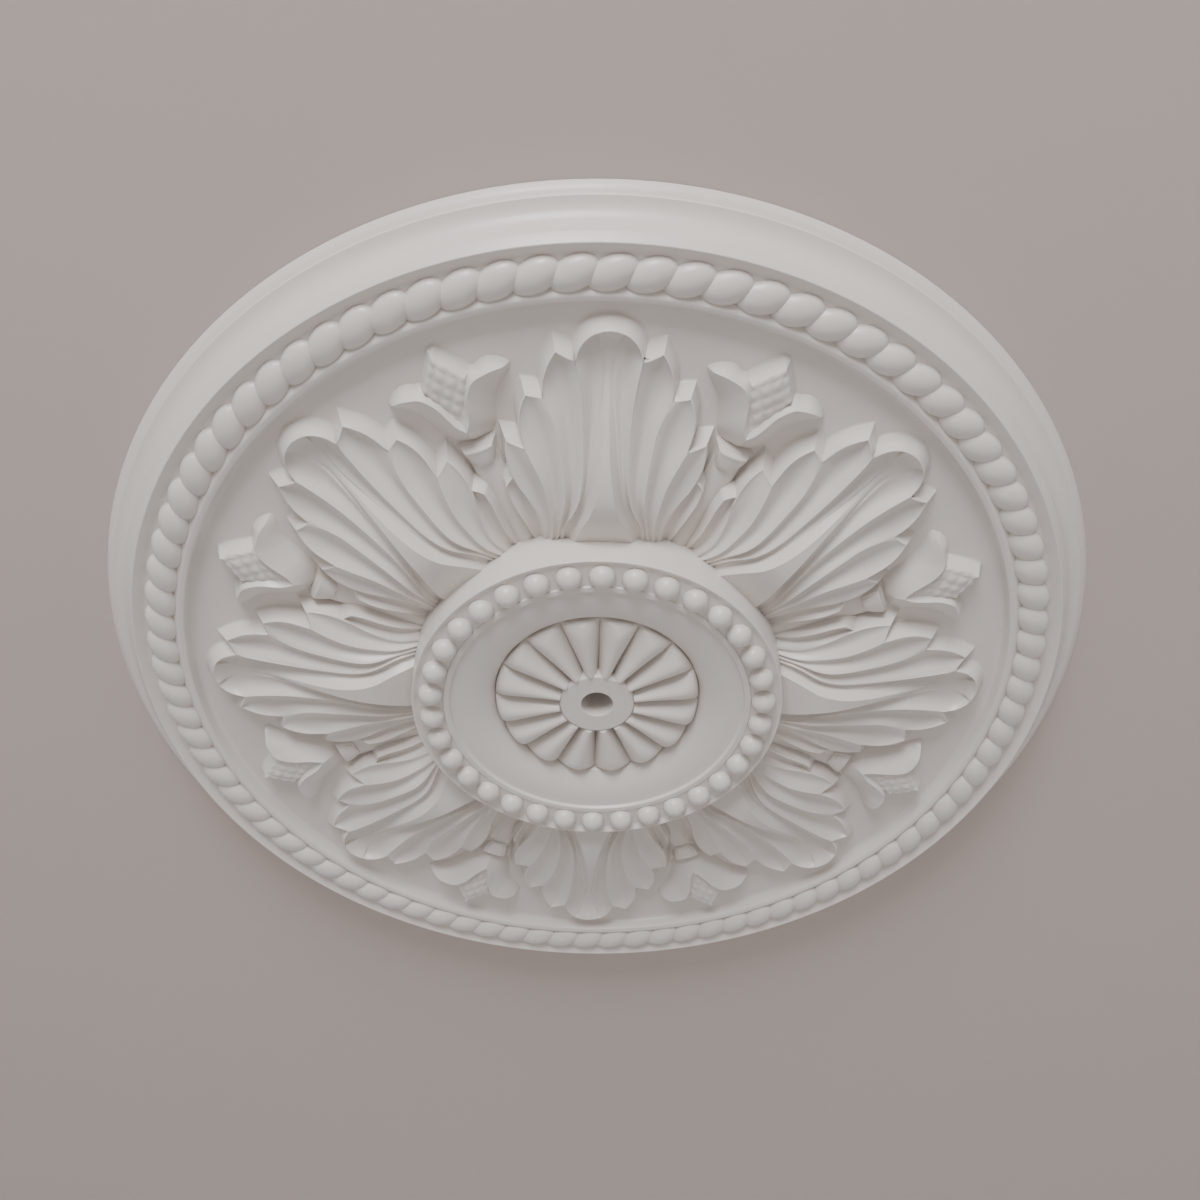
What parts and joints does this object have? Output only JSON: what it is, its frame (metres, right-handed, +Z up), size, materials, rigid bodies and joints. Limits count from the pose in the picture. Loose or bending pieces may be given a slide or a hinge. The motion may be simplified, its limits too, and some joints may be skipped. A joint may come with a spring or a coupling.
{
  "type": "ceiling rose",
  "caption": "Round moulded ceiling rose with carved leaves and flowers, a rope border, a beaded hub and a cable hole.",
  "frame": {"origin": "centre of the flat back, on the plane of the ceiling", "axes": "+Z up into the ceiling, the ornament faces down to -Z; -Y through the middle of one leaf; +X square to both"},
  "size_m": [0.5, 0.5, 0.0466],
  "materials": {
    "white_moulding": "matt warm white primer on a moulded polyurethane casting"
  },
  "bodies": {
    "root": {"ceiling_rose": "white_moulding"}
  },
  "joints": []
}
